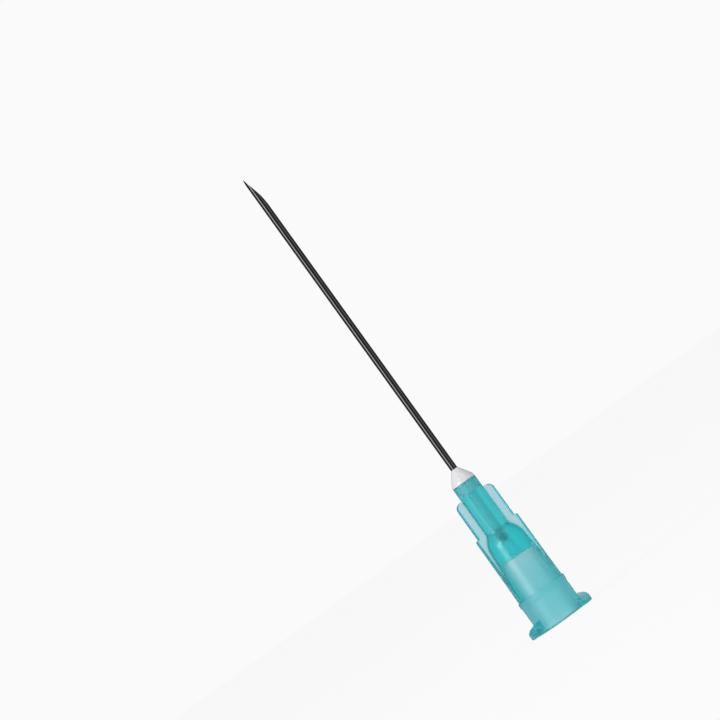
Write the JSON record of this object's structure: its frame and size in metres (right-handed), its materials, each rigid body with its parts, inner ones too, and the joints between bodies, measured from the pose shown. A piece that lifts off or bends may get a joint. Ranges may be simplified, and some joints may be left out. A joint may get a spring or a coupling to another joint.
{
  "type": "hypodermic needle",
  "caption": "Hypodermic needle: a bevel-pointed steel tube bonded into a moulded plastic hub with flat side wings, a tapered socket and locking lugs for a syringe.",
  "frame": {"origin": "centre of the hub's end face, on the needle's axis, at the mouth of the socket", "axes": "+Z along the needle towards its point, +X through the middle of one wing; the bevel's open side faces 22 degrees round from +X towards +Y"},
  "size_m": [0.0078, 0.0058, 0.0582],
  "materials": {
    "hub_plastic": "clear blue-green polypropylene, moulded, slightly cloudy",
    "tube_steel": "polished stainless steel, drawn, with a ground point",
    "adhesive": "cured clear-white epoxy, smooth"
  },
  "bodies": {
    "root": {"hub": "hub_plastic", "needle_tube": "tube_steel", "adhesive": "adhesive"}
  },
  "joints": []
}
